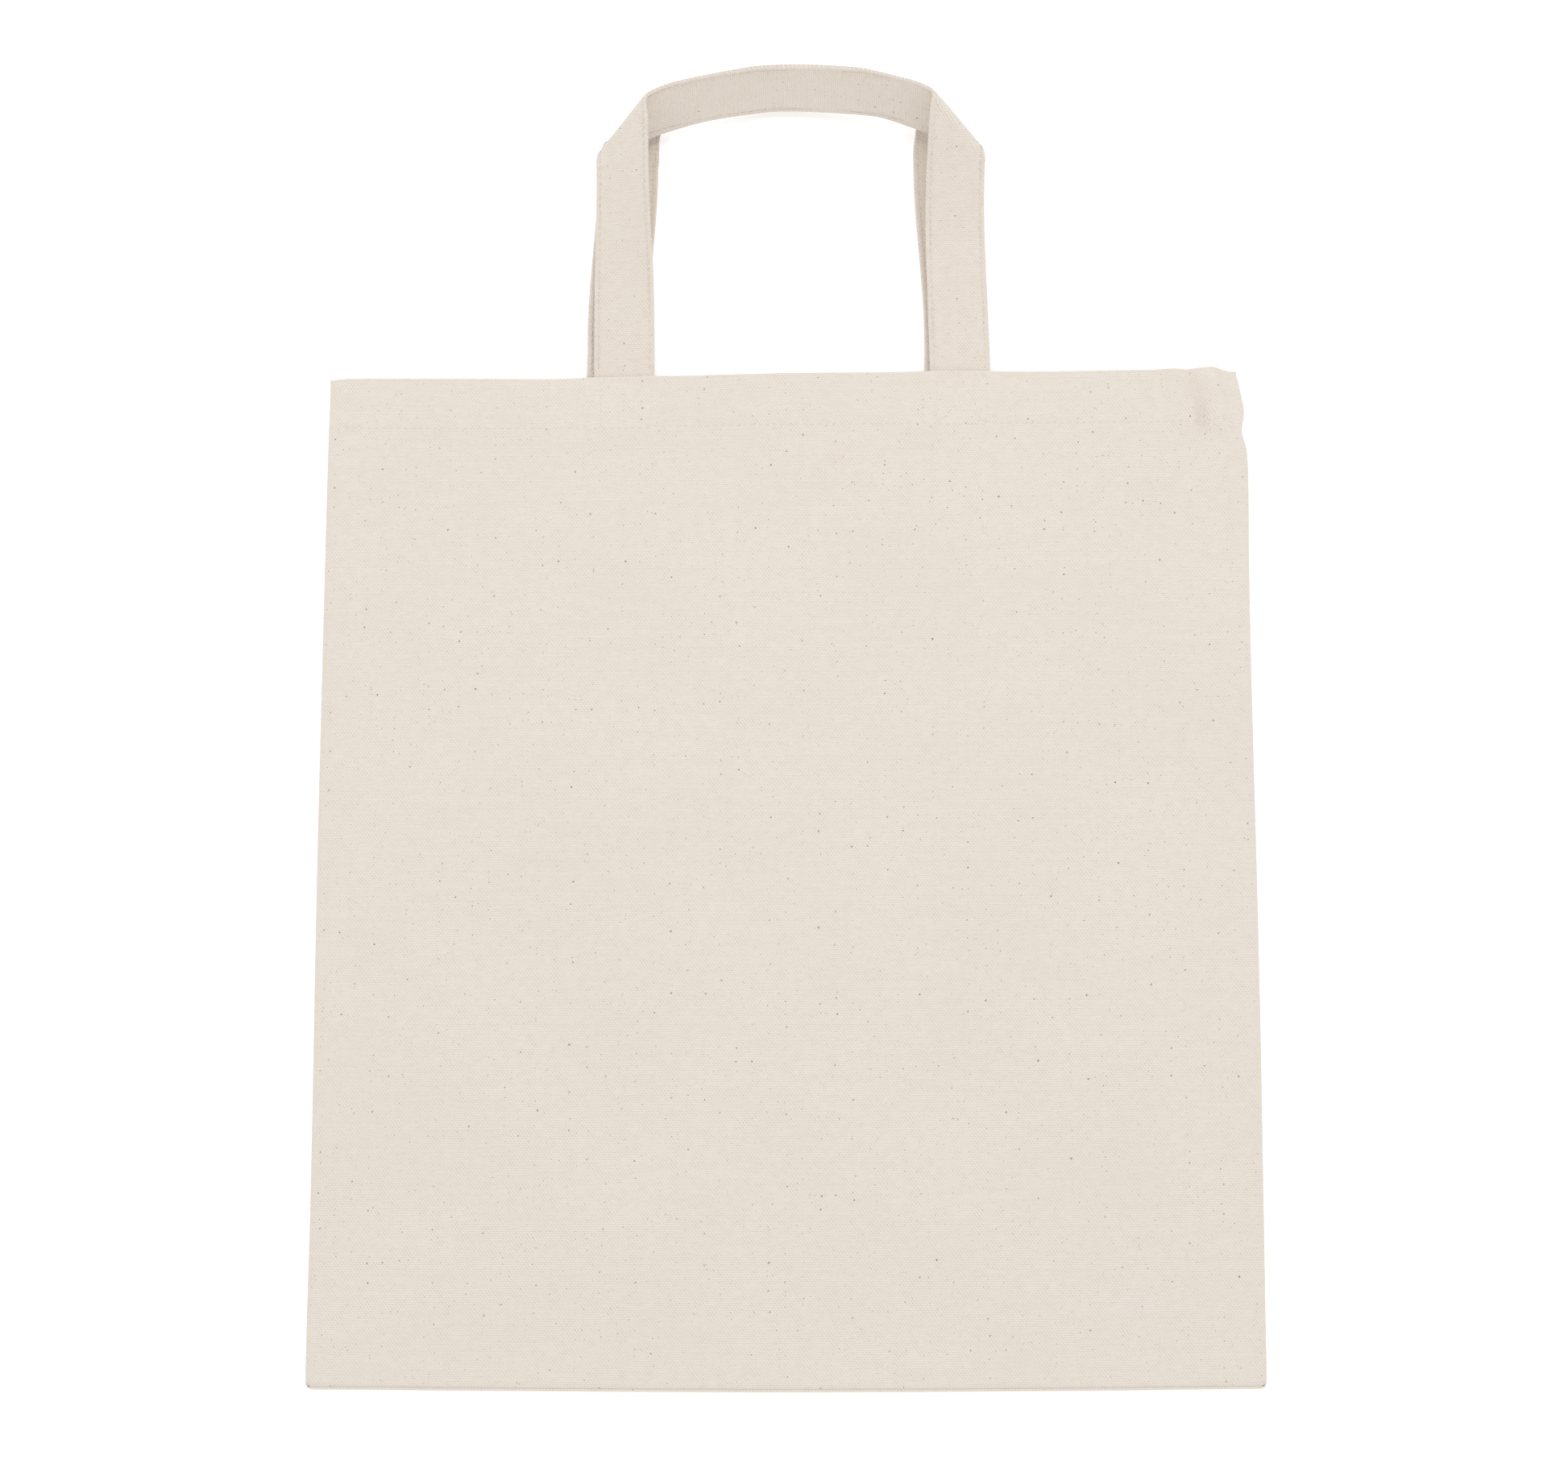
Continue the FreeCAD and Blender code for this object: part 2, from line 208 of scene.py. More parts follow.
def make_cloth(name, outer, flat, thickness=CLOTH, columns=None, flip=False):
    """A closed shell from a grid of points on the cloth's outer face.

    Thickness is one number or one for each point. Columns picks part of the grid. Its normals
    still come from the whole grid, so that two halves meet with no visible line.
    """
    normal = grid_normals(outer) * (-1 if flip else 1)
    inner = outer - normal * np.broadcast_to(thickness, outer.shape[:2])[..., None]
    if columns is not None:
        outer, inner, normal, flat = (grid[:, columns] for grid in (outer, inner, normal, flat))
    rows, cols = outer.shape[:2]
    count = rows * cols
    points = np.concatenate([outer.reshape(-1, 3), inner.reshape(-1, 3)])
    faces = [grid_faces(rows, cols, 0, flip), grid_faces(rows, cols, count, not flip)]
    number = np.arange(count).reshape(rows, cols)
    rims = []
    edges = ((number[0], False), (number[-1], True), (number[:, 0], True), (number[:, -1], False))
    for line, turned in edges:
        rim = np.stack([line[1:], line[:-1], line[:-1] + count, line[1:] + count], -1)
        rims.append(rim[:, ::-1] if turned != flip else rim)
    faces = np.concatenate(faces + rims)
    corner_normals = np.concatenate([normal.reshape(-1, 3), -normal.reshape(-1, 3)])[faces]
    rim_count = sum(len(r) for r in rims)
    a, b, c = (points[faces[-rim_count:, i]] for i in range(3))
    corner_normals[-rim_count:] = unit(np.cross(b - a, c - a))[:, None]
    flat = np.concatenate([flat.reshape(-1, 2)] * 2)
    return make_piece(name, points, faces, flat, corner_normals.reshape(-1, 3))


# ------------ panels

# The outline's departures from a true rectangle: (place, outwards) in millimetres.
RIGHT_EDGE = [(0, -3.5), (3, -2.7), (10, -1.3), (17, -0.2), (25, -1.3), (32, 0.4), (42, 0.9), (80, 0.4),
              (140, 0.3), (210, 0.6), (275, 0.6), (345, 0.2), (400, -0.1)]
LEFT_EDGE = [(0, -1.2), (30, -0.8), (90, -0.5), (210, -0.2), (340, -0.6), (400, -0.2)]
MOUTH_EDGE = [(-190, -2.0), (-182, -1.3), (-160, -1.3), (-120, -1.9), (-85, -2.0), (0, 0.6), (85, 1.0),
              (150, 2.2), (171, 2.9), (177, 3.6), (180.5, 4.3), (184, 3.0), (186.5, 2.3), (190, 1.9)]
BOTTOM_EDGE = [(-190, 0.5), (-120, 1.0), (0, 1.6), (120, 1.0), (190, 0.3)]
CORNER_RADIUS = 3.0
EDGE_REACH = 70.0          # how far into the panel an edge's departure fades out


def outline(x, y):
    """A flat point of a panel moved to the outline's real shape."""
    drop = MOUTH_Y - y
    right = smooth((x - HALF_WIDTH + EDGE_REACH) / EDGE_REACH) * through(RIGHT_EDGE, drop)
    left = smooth((-x - HALF_WIDTH + EDGE_REACH) / EDGE_REACH) * through(LEFT_EDGE, drop)
    top = smooth((y - MOUTH_Y + EDGE_REACH) / EDGE_REACH) * through(MOUTH_EDGE, x)
    bottom = smooth((BOTTOM_Y + EDGE_REACH - y) / EDGE_REACH) * through(BOTTOM_EDGE, x)
    beside = np.maximum(np.abs(x) - (HALF_WIDTH - CORNER_RADIUS), 0)
    below = np.maximum(BOTTOM_Y + CORNER_RADIUS - y, 0)
    reach = np.maximum(np.hypot(beside, below), 1e-9)
    shrink = 1 - np.maximum(beside, below) / reach
    x = x - np.sign(x) * beside * shrink
    y = y + below * shrink
    return x + right - left, y + top - bottom


class Settled:
    """The height of the front panel's top face after it has come to rest on what is inside.

    The cloth is a soft sheet that sinks under its own weight onto the strap ends, the hems and
    the seam allowances, and bridges the hollows between them.
    """

    STEP = 2.0
    ROUNDS = 260
    SINK = 0.004               # in a round, from the cloth's weight

    def __init__(self):
        self.x = np.arange(-HALF_WIDTH, HALF_WIDTH + self.STEP / 2, self.STEP)
        self.y = np.arange(BOTTOM_Y, MOUTH_Y + self.STEP / 2, self.STEP)
        x, y = np.meshgrid(self.x, self.y)
        self.height = self.settle(self.support(x, y))

    def support(self, x, y):
        side = HALF_WIDTH - np.abs(x)
        bottom = y - BOTTOM_Y
        inside = np.minimum(side, bottom)
        height = LOW_HEIGHT + (HIGH_HEIGHT - LOW_HEIGHT) * smooth(inside / 75)
        height += 0.30 * waves(x, y, 120, 3) * smooth(inside / 40)
        hem = smooth((y - (MOUTH_Y - HEM_DEPTH)) / 5)
        height += 0.65 * hem
        for side_sign in (-1, 1):
            beside = np.abs(x - side_sign * STRAP_X) - STRAP_WIDTH / 2
            beyond = STRAP_END_Y - y
            over = 1 - smooth(np.maximum(beside, beyond) / 2.0)
            height = np.maximum(height, over * STRAP_HEIGHT)
        allowance = 1 - smooth((inside - SEAM_ALLOWANCE) / 1.5)
        return height + 0.25 * allowance

    def beside(self, height):
        """The mean height of each point's four neighbours."""
        padded = np.pad(height, 1, mode="edge")
        return (padded[1:-1, :-2] + padded[1:-1, 2:] + padded[:-2, 1:-1] + padded[2:, 1:-1]) / 4

    def settle(self, support):
        height = support + 0.4
        for _ in range(self.ROUNDS):
            height = np.maximum(0.25 * height + 0.75 * self.beside(height) - self.SINK, support)
        for _ in range(3):
            height = (height + self.beside(height)) / 2
        return height

    def at(self, x, y):
        """The height between grid points, by bilinear interpolation."""
        column = np.clip((x - self.x[0]) / self.STEP, 0, len(self.x) - 1.001)
        row = np.clip((y - self.y[0]) / self.STEP, 0, len(self.y) - 1.001)
        i, j = row.astype(int), column.astype(int)
        a, b = row - i, column - j
        low = self.height[i, j] * (1 - b) + self.height[i, j + 1] * b
        high = self.height[i + 1, j] * (1 - b) + self.height[i + 1, j + 1] * b
        return low * (1 - a) + high * a


settled = Settled()


# Lines in the crushed corner: (x where it meets the mouth, how far x moves for each mm down).
VALLEY_LINE = (168.8, 0.19)
RIDGE_LINE = (176.0, 0.22)
VALLEY_DEPTH = 2.6
SWELL_HEIGHT = 1.3
RIDGE_HEIGHT = 1.7
FLAP_SLOPE = 0.30


def corner_crumple(x, y):
    """The crushed corner on the right of the mouth: a slanting valley with a swell beside it."""
    drop = MOUTH_Y - y
    near = 1 - smooth((drop - 20) / 14)
    beside_valley = x - (VALLEY_LINE[0] + VALLEY_LINE[1] * drop)
    beside_ridge = x - (RIDGE_LINE[0] + RIDGE_LINE[1] * drop)
    valley = -VALLEY_DEPTH * bell(beside_valley, 1.8) * (0.4 + 0.6 * bell(drop - 21, 8)) * near
    swell = SWELL_HEIGHT * bell(beside_valley + 6.5, 5.5) * near
    ridge = RIDGE_HEIGHT * bell(beside_ridge, 4.4) * near * smooth((drop + 4) / 10)
    flap = -FLAP_SLOPE * np.maximum(beside_ridge, 0) * near
    return valley + swell + ridge + flap


def front_height(x, y):
    lowest = SEAM_LEVEL + 0.8 + 1.0 * smooth((np.abs(x) - 177) / 6)
    return np.maximum(settled.at(x, y) + corner_crumple(x, y), lowest)


def edge_turn(distance, radius, curl):
    """Inset and rise share of cloth that turns over an edge, from distance along the cloth.

    Curl is how far past level the cloth starts, tucked in below the edge, in radians.
    """
    turn = np.minimum(distance / radius - curl, math.pi / 2)
    inset = radius * (1 - np.cos(turn)) + np.maximum(distance - radius * (math.pi / 2 + curl), 0)
    return inset, np.sin(turn)


FINE_STEPS = ((6.5, 0.5), (24.0, 1.0))   # (up to this place, step)


def spread_places(total, widest):
    """Places from 0 to total: close together at the edge of a panel and wider further in."""
    places = [0.0]
    for limit, step in FINE_STEPS + ((total - widest / 2, widest),):
        while places[-1] < limit:
            places.append(places[-1] + step)
    places[-1] = total
    return np.array(places)


CURL = 0.6                 # radians that a panel's edge is tucked in past level


def panel_grid(face):
    """The outer face of a panel as a grid, rows from the bottom seam over the mouth's fold.

    Returns the points, their flat places and the cloth's thickness, less where it is pinched
    into a corner.
    """
    front = face == "front"
    turn_length = EDGE_ROLL * (math.pi / 2 + CURL)
    flat_half = HALF_WIDTH - EDGE_ROLL + turn_length
    widest = 1.85 if front else 3.0
    across = spread_places(flat_half, widest)
    up = spread_places(HEIGHT - EDGE_ROLL + turn_length - FOLD_RADIUS, widest)
    side_inset, side_rise = edge_turn(across, EDGE_ROLL, CURL)
    x = np.concatenate([-(HALF_WIDTH - side_inset), (HALF_WIDTH - side_inset[:-1])[::-1]])
    x_rise = np.concatenate([side_rise, side_rise[:-1][::-1]])
    x_flat = np.concatenate([across - flat_half, (flat_half - across[:-1])[::-1]])
    bottom_inset, y_rise = edge_turn(up, EDGE_ROLL, CURL)
    y = BOTTOM_Y + bottom_inset
    fold = np.linspace(0, math.pi, 13)[1:]
    y = np.concatenate([y, MOUTH_Y - FOLD_RADIUS + FOLD_RADIUS * np.sin(fold)])
    tuck = np.concatenate([np.zeros(len(up)), FOLD_RADIUS * (1 - np.cos(fold))])
    y_rise = np.concatenate([y_rise, np.ones(len(fold))])
    y_flat = np.concatenate([up, up[-1] + FOLD_RADIUS * fold])
    x_grid, y_grid = np.meshgrid(x, y)
    rise = x_rise[None, :] * y_rise[:, None]
    both_low = (x_rise[None, :] < 0) & (y_rise[:, None] < 0)
    rise = np.where(both_low, -np.abs(rise), rise)
    plan_x, plan_y = outline(x_grid, y_grid)
    near_mouth = smooth((y_grid - MOUTH_Y + 30) / 30)
    tuck = tuck[:, None] * (0.25 + 0.75 * np.maximum(x_rise, 0))[None, :]
    if front:
        level = SEAM_LEVEL + 0.25 + 0.3 * near_mouth
        height = level + (front_height(x_grid, y_grid) - level) * rise - tuck
        plan_y = plan_y + 0.9 * (1 - smooth((y_grid - BOTTOM_Y) / 40))
    else:
        level = SEAM_LEVEL - 0.25
        height = level * (1 - rise) + tuck
    points = np.stack([plan_x, plan_y, height], -1)
    flat = np.stack(np.broadcast_arrays(x_flat[None, :], y_flat[:, None]), -1)
    at_side = 1 - smooth((HALF_WIDTH - np.abs(x_grid)) / 3)
    at_end = np.maximum(1 - smooth((MOUTH_Y - y_grid) / 3), 1 - smooth((y_grid - BOTTOM_Y) / 3))
    thickness = CLOTH * (1 - 0.8 * at_side * at_end)
    return points, flat, thickness


def front_point(x, y, lift):
    """Where a point over the front panel's flat place (x, y) is, lift above its face."""
    plan_x, plan_y = outline(x, y)
    step = 0.5
    slope_x = (front_height(x + step, y) - front_height(x - step, y)) / (2 * step)
    slope_y = (front_height(x, y + step) - front_height(x, y - step)) / (2 * step)
    normal = unit(np.stack([-slope_x, -slope_y, np.ones_like(x)], -1))
    return np.stack([plan_x, plan_y, front_height(x, y)], -1) + normal * lift[..., None]


def back_point(x, y, lift):
    """Where a point under the back panel's flat place (x, y) is, lift below its face."""
    plan_x, plan_y = outline(x, y)
    return np.stack([plan_x, plan_y, -lift], -1)


def halves(columns):
    """The column slices of a grid's left and right half, which share the middle column."""
    middle = columns // 2
    return {"left": slice(0, middle + 1), "right": slice(middle, columns)}


def join_sides(piece, nodes):
    """Bakes the piece's placement into its mesh and hides the CAD parts that it stands for."""
    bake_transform(piece)
    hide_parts(*nodes)


def build_panels():
    points, flat, thickness = panel_grid("front")
    pieces = []
    for side, columns in halves(points.shape[1]).items():
        piece = make_cloth(f"front_panel_{side}", points, flat, thickness, columns)
        join_sides(piece, ["front_panel"])
        pieces.append(piece)
    points, flat, thickness = panel_grid("back")
    piece = make_cloth("back_panel_cloth", points, flat, thickness, flip=True)
    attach(piece, "back_side")
    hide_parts("back_panel")
    return pieces + [piece]


def build_hems():
    """The cloth turned in at the mouth, under the front panel and on the back panel."""
    inset = SEAM_ALLOWANCE * 0.35
    x = np.linspace(-HALF_WIDTH + inset, HALF_WIDTH - inset, 181)
    y = np.linspace(MOUTH_Y - HEM_DEPTH, MOUTH_Y - FOLD_RADIUS * 1.02, 16)
    x_grid, y_grid = np.meshgrid(x, y)
    flat = np.stack([x_grid, -y_grid], -1)
    plan_x, plan_y = outline(x_grid, y_grid)
    pieces = []
    under = front_height(x_grid, y_grid) - 2 * FOLD_RADIUS
    points = np.stack([plan_x, plan_y, under], -1)
    for side, columns in halves(len(x)).items():
        piece = make_cloth(f"front_hem_{side}", points, flat, columns=columns, flip=True)
        join_sides(piece, ["front_hem"])
        pieces.append(piece)
    points = np.stack([plan_x, plan_y, np.full(plan_x.shape, 2 * FOLD_RADIUS)], -1)
    piece = make_cloth("back_hem_cloth", points, flat)
    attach(piece, "back_side")
    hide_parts("back_hem")
    return pieces + [piece]


# ------------ seams

def make_ribbon(name, ends, along, width, thickness):
    """A seam allowance: two layers of cloth in one long flat strip with a groove on its raw edge.

    Ends are the strip's two plan points on the seam line, and along the direction inwards.
    """
    profile = [(0, -0.5), (0.5, -0.55), (0.95, -0.5), (1.0, -0.3), (1.0, -0.08), (0.97, 0), (1.0, 0.08),
               (1.0, 0.3), (0.95, 0.5), (0.5, 0.55), (0, 0.5)]
    profile = np.array(profile) * [width, thickness]
    start, direction, length = straight(*ends)
    along_line = np.linspace(0, length, max(2, int(length / 4)))[:, None]
    line = start + direction * along_line
    out, up = profile[None, :, 0], profile[None, :, 1]
    wander = 0.35 * waves(line[:, 0], line[:, 1], 45, 11)[:, None]
    curl = 0.25 * waves(line[:, 0], line[:, 1], 60, 5)[:, None]
    plan = line[:, None, :] + np.array(along, float) * (out + wander * out / width)[..., None]
    plan = np.stack(outline(plan[..., 0], plan[..., 1]), -1)
    lift = SEAM_LEVEL + up + curl * out / width
    points = np.concatenate([plan, lift[..., None]], -1)
    around = np.cumsum(np.linalg.norm(np.diff(profile, axis=0, prepend=profile[:1]), axis=1))
    flat = np.stack(np.broadcast_arrays(around[None, :], along_line), -1)
    faces = tube_faces(*points.shape[:2])
    piece = make_piece(name, points.reshape(-1, 3), faces, flat.reshape(-1, 2))
    fix_outside(piece)
    return piece


def fix_outside(piece):
    """Turns all faces outwards."""
    shape = bmesh.new()
    shape.from_mesh(piece.data)
    bmesh.ops.recalc_face_normals(shape, faces=shape.faces)
    shape.to_mesh(piece.data)
    shape.free()


def build_seams():
    """The turned-in allowances of the side seams and the bottom seam, and their overlock.

    The right one stops lower than the left one, under the crushed corner.
    """
    cloth, thread = [], []
    near = EDGE_ROLL * 0.8
    width = SEAM_ALLOWANCE - near
    left, right, low = -HALF_WIDTH + near, HALF_WIDTH - near, BOTTOM_Y + near
    lines = {
        "left_side_seam": ([(left, low), (left, MOUTH_Y - 4)], (1, 0)),
        "right_side_seam": ([(right, low), (right, MOUTH_Y - 8)], (-1, 0)),
        "bottom_seam": ([(left + width, low), (right - width, low)], (0, 1)),
    }
    for name, (ends, along) in lines.items():
        piece = make_ribbon(name + "_allowance", ends, along, width, ALLOWANCE_THICKNESS)
        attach(piece, "back_side")
        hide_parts(name)
        cloth.append(piece)
        node = name.replace("side_seam", "seam") + "_overlock"
        thread.append(build_overlock(node, ends, along, width))
    return cloth, thread


OVERLOCK_RADIUS = 0.2
OVERLOCK_PITCH = 2.6
# One turn of the overlock: (share of the pitch, out past the raw edge, lift in cloths).
OVERLOCK_TURN = [(0.0, -3.6, 0.95), (0.32, -1.2, 0.98), (0.5, 0.25, 0.55), (0.55, 0.32, 0),
                 (0.6, 0.25, -0.55), (0.72, -1.2, -0.98), (0.95, -3.6, -0.95)]


def build_overlock(node, ends, along, width):
    """A zigzag of thread wrapped round an allowance's raw edge."""
    start, direction, length = straight(*ends)
    inwards = np.array(along, float)
    points, faces = [], []
    for turn in range(int((length - HEM_DEPTH) / OVERLOCK_PITCH)):
        path = []
        for t, out, lift in OVERLOCK_TURN:
            plan = start + direction * (turn + t) * OVERLOCK_PITCH + inwards * (width + out)
            path.append([*outline(*plan), SEAM_LEVEL + lift * CLOTH * 1.05])
        tube, more = make_tube(np.array(path), OVERLOCK_RADIUS, 5)
        faces += [[i + len(points) for i in f] for f in more]
        points += list(tube)
    piece = make_piece(node + "_thread", points, faces, np.array(points)[:, :2])
    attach(piece, "back_side")
    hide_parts(node)
    return piece


def make_tube(path, radius, sides):
    """Points and faces of a thin round tube along a path."""
    tangent = unit(np.gradient(path, axis=0))
    reference = np.array([0.31, 0.17, 0.94])   # no part of a path runs this way
    side = unit(np.cross(tangent, reference))
    other = np.cross(tangent, side)
    angle = 2 * math.pi * np.arange(sides) / sides
    ring = np.cos(angle)[None, :, None] * side[:, None] + np.sin(angle)[None, :, None] * other[:, None]
    points = (path[:, None] + radius * ring).reshape(-1, 3)
    return points, tube_faces(len(path), sides)


# ------------ straps

class Fold:
    """How one end of a crown bends: the bow, then the diagonal fold into the leg."""

    def __init__(self, place, slant, turn, bow, width):
        self.place = place                   # along the strap, at the strap's middle
        self.slant = math.radians(slant)     # the fold line's lean
        self.turn = math.radians(turn)       # how far the cloth turns, + towards the viewer
        self.bow = math.radians(bow)         # how far the crown's end bows towards the viewer
        self.width = width                   # of the rounded fold


def roll_up(points, s, v, start, slant, angle, width):
    """Rolls flat strap points (s, v, h) towards +h by an angle, over a band of some width."""
    along = np.array([math.cos(slant), math.sin(slant), 0])
    line = np.array([-math.sin(slant), math.cos(slant), 0])
    travelled = np.clip((s - start) * math.cos(slant) + v * math.sin(slant), 0, width)
    radius = width / angle
    turn = travelled / radius
    hub = np.array([start, 0, radius])
    offset = points - travelled[:, None] * along - hub
    forward, sideways, height = offset @ along, offset @ line, offset[:, 2]
    new_forward = forward * np.cos(turn) - height * np.sin(turn)
    new_height = forward * np.sin(turn) + height * np.cos(turn)
    return hub + new_forward[:, None] * along + sideways[:, None] * line + new_height[:, None] * UP


class Strap:
    """A whole handle strap in space: crown, two folds, two legs and the ends inside the hem."""

    HALF = STRAP_WIDTH / 2
    SAMPLE = 0.25
    PINCH = 1.3                # how much a fold narrows the strap
    SOFT = 0.3                 # how softly the strap comes to rest on the floor

    def __init__(self, centre, pitch, roll, folds, leg_stations):
        self.centre = np.array(centre, float)
        self.pitch = math.radians(pitch)
        self.roll = math.radians(roll)
        self.folds = folds
        self.legs = {}
        self.leg_start = {}
        for sign in (-1, 1):
            fold = folds[sign]
            clear = fold.width / 2 / math.cos(fold.slant) + 0.5
            self.leg_start[sign] = fold.place + self.HALF * math.tan(fold.slant) + clear
            self.legs[sign] = self.lay_leg(sign, leg_stations[sign])
        self.reach = {sign: self.leg_start[sign] + self.legs[sign]["length"] for sign in (-1, 1)}

    def crown_points(self, sign, s, v, h):
        fold = self.folds[sign]
        points = np.stack([s, v, h], -1)
        start = fold.place - fold.width / 2 / math.cos(fold.slant)
        points = roll_up(points, s, v, start, fold.slant, fold.turn, fold.width)
        bow_length = fold.place - self.HALF * math.tan(fold.slant)
        points = roll_up(points, s, v, 0.0, 0.0, fold.bow, bow_length)
        roll = self.roll * sign
        t = np.array([sign, 0.0, 0.0])
        w = np.array([0.0, math.cos(self.pitch), math.sin(self.pitch)])
        n = np.array([0.0, -math.sin(self.pitch), math.cos(self.pitch)])
        along = t * math.cos(roll) + w * math.sin(roll)
        across = -t * math.sin(roll) + w * math.cos(roll)
        return self.centre + points[:, :1] * along + points[:, 1:2] * across + points[:, 2:] * n

    def lay_leg(self, sign, stations):
        """Samples the leg's centre line and its across direction from the fold to its sewn end."""
        start = self.leg_start[sign]
        s, v = np.array([start, start + 1, start]), np.array([0, 0, 1.0])
        probe = self.crown_points(sign, s, v, np.zeros(3))
        direction = probe[1] - probe[0]
        across = probe[2] - probe[0]
        stations = [(probe[0], direction, across)] + stations
        places, acrosses = [], []
        for (p0, d0, a0), (p1, d1, a1) in zip(stations, stations[1:]):
            p0, d0, a0, p1, d1, a1 = (np.array(q, float) for q in (p0, d0, a0, p1, d1, a1))
            chord = np.linalg.norm(p1 - p0)
            u = np.linspace(0, 1, max(8, int(chord / self.SAMPLE)), endpoint=False)[:, None]
            places.append(hermite(u, p0, p1, unit(d0) * chord, unit(d1) * chord))
            acrosses.append(a0 + (a1 - a0) * smooth(u))
        places.append(np.array([stations[-1][0]], float))
        acrosses.append(np.array([stations[-1][2]], float))
        place = np.concatenate(places)
        across = np.concatenate(acrosses)
        distance = np.concatenate([[0], np.cumsum(np.linalg.norm(np.diff(place, axis=0), axis=1))])
        tangent = unit(np.gradient(place, distance, axis=0))
        across = unit(across - (across * tangent).sum(1, keepdims=True) * tangent)
        face = sign * np.cross(tangent, across)
        return {"distance": distance, "place": place, "across": across, "face": face, "length": distance[-1]}

    def leg_points(self, sign, s, v, h):
        leg = self.legs[sign]
        distance = s - self.leg_start[sign]

        def at(key):
            return np.stack([np.interp(distance, leg["distance"], leg[key][:, i]) for i in range(3)], -1)

        return at("place") + at("across") * v[:, None] + at("face") * h[:, None]

    def pinched(self, s, v):
        """The strap narrows a little where a fold runs into its upper edge."""
        narrowed = v.copy()
        beside = smooth((v / self.HALF - 0.1) / 0.9)
        for sign in (-1, 1):
            place = self.folds[sign].place - self.HALF * math.tan(self.folds[sign].slant)
            narrowed -= self.PINCH * bell(s * sign - place, 5.5) * beside
        return narrowed

    def place(self, s, v, h):
        """Where flat strap points are. S is negative on the left half."""
        s, v, h = (np.asarray(q, float).ravel() for q in np.broadcast_arrays(s, v, h))
        v = self.pinched(s, v)
        middle = self.hang(s, v, np.zeros(len(h)))
        points = self.hang(s, v, h)
        points[:, 2] += self.SOFT * np.logaddexp(0, (STRAP_THICKNESS / 2 - middle[:, 2]) / self.SOFT)
        return points

    def hang(self, s, v, h):
        points = np.zeros((len(s), 3))
        for sign in (-1, 1):
            for is_leg in (False, True):
                mine = (s * sign > 0) | ((s == 0) & (sign == 1))
                mine &= (np.abs(s) > self.leg_start[sign]) == is_leg
                if mine.any():
                    work = self.leg_points if is_leg else self.crown_points
                    points[mine] = work(sign, np.abs(s[mine]), v[mine], h[mine])
        return points

    def stations(self):
        """Places along the strap, closer together at the folds."""
        out = []
        for sign in (-1, 1):
            fold = self.folds[sign]
            band = self.HALF * math.tan(fold.slant) + fold.width
            s, places = 0.0, [0.0]
            while s < self.reach[sign] - 0.6:
                s += 0.45 if abs(s - fold.place) < band else 1.2
                places.append(min(s, self.reach[sign]))
            places[-1] = self.reach[sign]
            out.append(sign * np.array(places))
        return np.concatenate([out[0][::-1], out[1][1:]])


def strap_section():
    """The strap's outline in (v, h): folded edges, a slight pillow and sunk lines of stitching."""
    half_width, half = STRAP_WIDTH / 2, STRAP_THICKNESS / 2
    v = np.concatenate([[-half_width + 0.75], np.linspace(-half_width + 1.3, half_width - 1.3, 29),
                        [half_width - 0.75]])
    sunk = 0.26 * bell(np.abs(v) - (half_width - EDGE_STITCH_INSET), 0.75)
    pillow = 0.06 * (1 - (v / half_width) ** 2)
    top = [(a, half - s + p) for a, s, p in zip(v, sunk, pillow)]
    edge = [(-0.22, 0.62), (0, 0.34), (-0.02, 0.1), (-0.16, 0), (-0.02, -0.1), (0, -0.34), (-0.22, -0.62)]
    right = [(half_width + out, share * half) for out, share in edge]
    bottom = [(a, -h) for a, h in reversed(top)]
    left = [(-a, h) for a, h in reversed(right)]
    return np.array(top + right + bottom + left)


CROWN_DENTS = ((-14, 0.45, 7), (9, -0.25, 8), (31, 0.5, 7), (47, -0.3, 6))   # (s, depth, width)


def build_strap(name, strap):
    section = strap_section()
    s = strap.stations()
    v = np.broadcast_to(section[None, :, 0], (len(s), len(section)))
    h = np.broadcast_to(section[None, :, 1], v.shape)
    s_grid = np.broadcast_to(s[:, None], v.shape)
    pucker = 0.05 * np.sin(2 * math.pi * s_grid / STITCH_PITCH)
    near_stitch = bell(np.abs(v) - (STRAP_WIDTH / 2 - EDGE_STITCH_INSET), 0.9)
    h = h + np.sign(h) * pucker * near_stitch
    h = h + 0.10 * waves(s_grid, v, 38, 21) * (np.abs(h) > 0.3)
    for place, depth, width in CROWN_DENTS:
        h = h - depth * bell(s_grid + 0.25 * v - place, width)
    points = strap.place(s_grid, v, h)
    flat = np.stack([v, s_grid], -1).reshape(-1, 2)
    piece = make_piece(name, points, tube_faces(*v.shape), flat)
    fix_outside(piece)
    return piece


CROWN_LIFT = 2.7           # the gap under the front crown's lower edge


